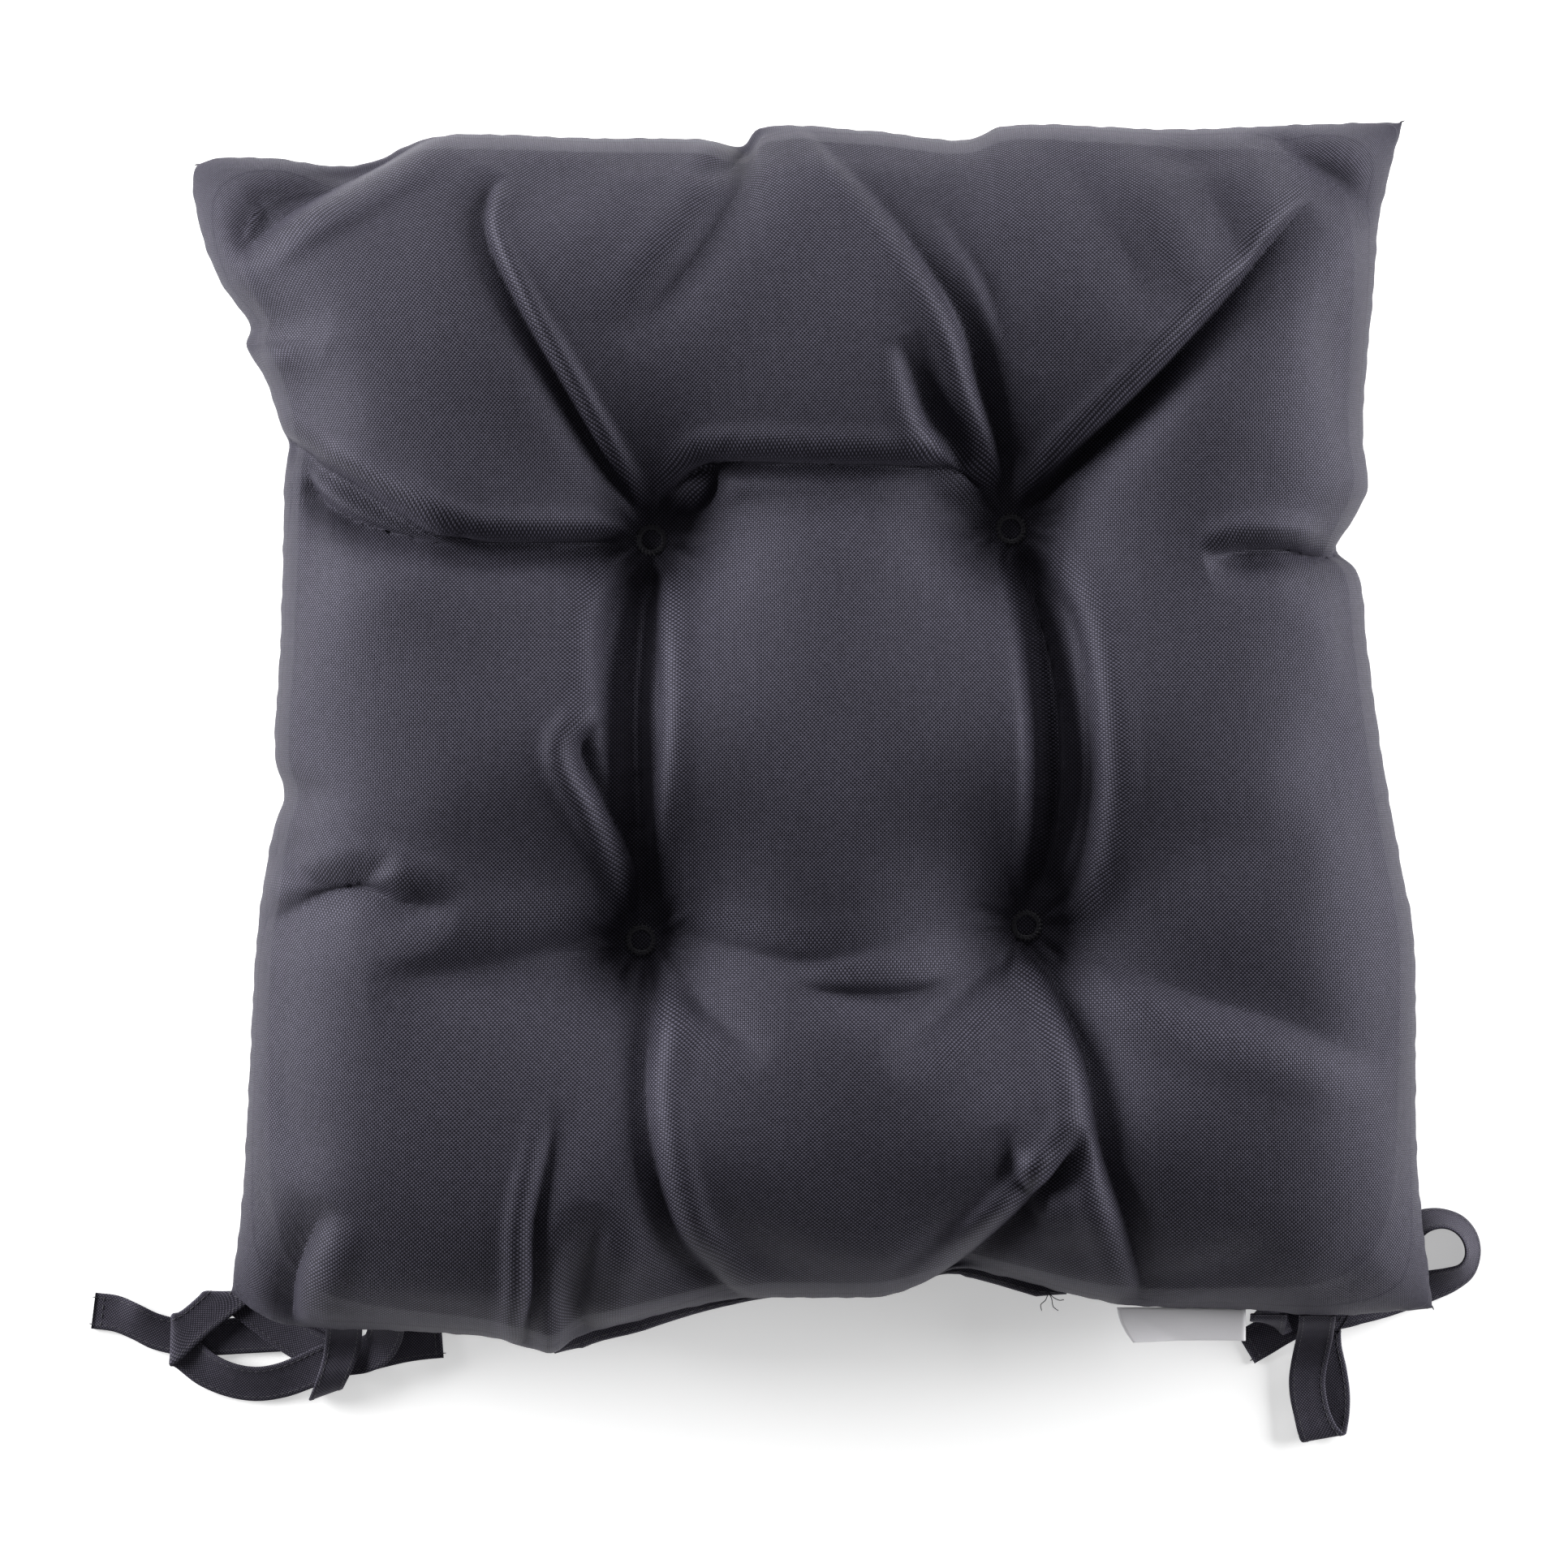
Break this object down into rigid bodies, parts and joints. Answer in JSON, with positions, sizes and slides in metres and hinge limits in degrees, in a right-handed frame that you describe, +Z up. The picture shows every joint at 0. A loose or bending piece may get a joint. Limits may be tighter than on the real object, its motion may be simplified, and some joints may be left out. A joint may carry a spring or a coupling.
{
  "type": "chair seat pad",
  "caption": "Square tufted seat pad: two woven covers sewn round a fibre filling, with stitched tufts and knotted ties at the back edge.",
  "frame": {"origin": "middle of the pad's bounding box in plan, on the surface that it lies on; the knotted ties are not counted", "axes": "+Z up; +X to the right of a sitter, along the wider side; the back edge with the ties and the label is at -Y"},
  "size_m": [0.4575, 0.4303, 0.0787],
  "materials": {
    "cover_fabric": "plain weave, slight sheen",
    "underside_fabric": "plain weave, matte",
    "filling_fibre": "loose fibre, matte",
    "thread": "twisted thread, satin",
    "tie_fabric": "plain weave, edge-stitched",
    "label_satin": "satin ribbon, unprinted"
  },
  "bodies": {
    "pad": {"top_cover": "cover_fabric", "bottom_cover": "underside_fabric", "fibre_filling": "filling_fibre", "tuft_thread_front_left": "thread", "tuft_thread_front_right": "thread", "tuft_thread_back_left": "thread", "tuft_thread_back_right": "thread", "seam_thread": "thread", "closing_stitch": "thread", "tie_tail_left": "tie_fabric", "tie_tail_right": "tie_fabric", "label_tail": "label_satin"},
    "left_ties": {"tie_left_loop": "tie_fabric", "tie_left_wrap": "tie_fabric"},
    "right_ties": {"tie_right_side_loop": "tie_fabric", "tie_right_hanging_loop": "tie_fabric"},
    "label": {"care_label": "label_satin"}
  },
  "joints": [
    {"name": "left_ties_swing", "type": "hinge", "parent": "pad", "child": "left_ties", "pos_m": [-0.145, -0.1887, 0.0221], "axis": [1, 0, 0], "range_deg": [-60, 0]},
    {"name": "right_ties_swing", "type": "hinge", "parent": "pad", "child": "right_ties", "pos_m": [0.158, -0.189, 0.0214], "axis": [1, 0, 0], "range_deg": [-60, 0]},
    {"name": "care_label_flip", "type": "hinge", "parent": "pad", "child": "label", "pos_m": [0.1215, -0.189, 0.0231], "axis": [1, 0, 0], "range_deg": [-70, 70]}
  ]
}
